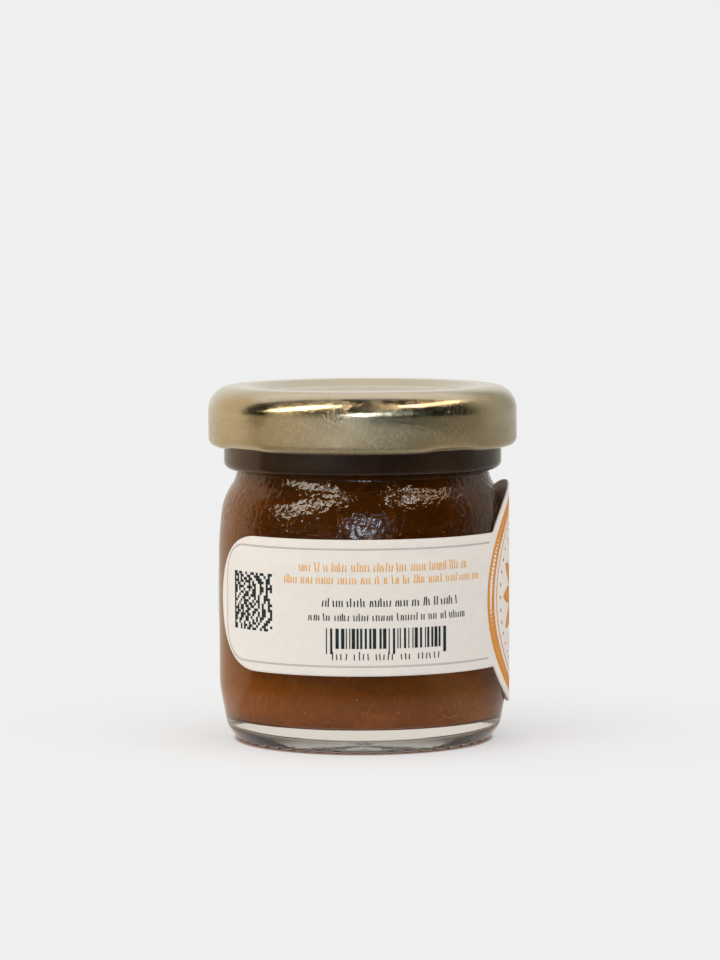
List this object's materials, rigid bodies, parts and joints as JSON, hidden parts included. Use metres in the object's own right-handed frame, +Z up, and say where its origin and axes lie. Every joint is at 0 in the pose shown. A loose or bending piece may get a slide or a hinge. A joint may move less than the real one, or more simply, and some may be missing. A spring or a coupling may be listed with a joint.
{
  "type": "small glass conserve jar",
  "caption": "Small round glass jar of dark fruit conserve, shut with a gold twist-off lid and wrapped in a die-cut paper label.",
  "frame": {"origin": "centre of the foot on the surface that the jar stands on", "axes": "+Z up along the jar's axis; -Y faces the side with the label's left wing; +X faces the label's large round"},
  "size_m": [0.0462, 0.0462, 0.053],
  "materials": {
    "clear_glass": "clear soda-lime glass, fire-polished, with faint mould ripples",
    "fruit_conserve": null,
    "gold_lacquered_tinplate": "brushed tinplate under a clear gold lacquer, satin, lightly scuffed",
    "label_paper": "matte cream uncoated paper with a felt-like surface, printed in orange and dark ink"
  },
  "bodies": {
    "root": {"jar_glass": "clear_glass", "conserve": "fruit_conserve", "lid": "gold_lacquered_tinplate", "label": "label_paper"}
  },
  "joints": []
}
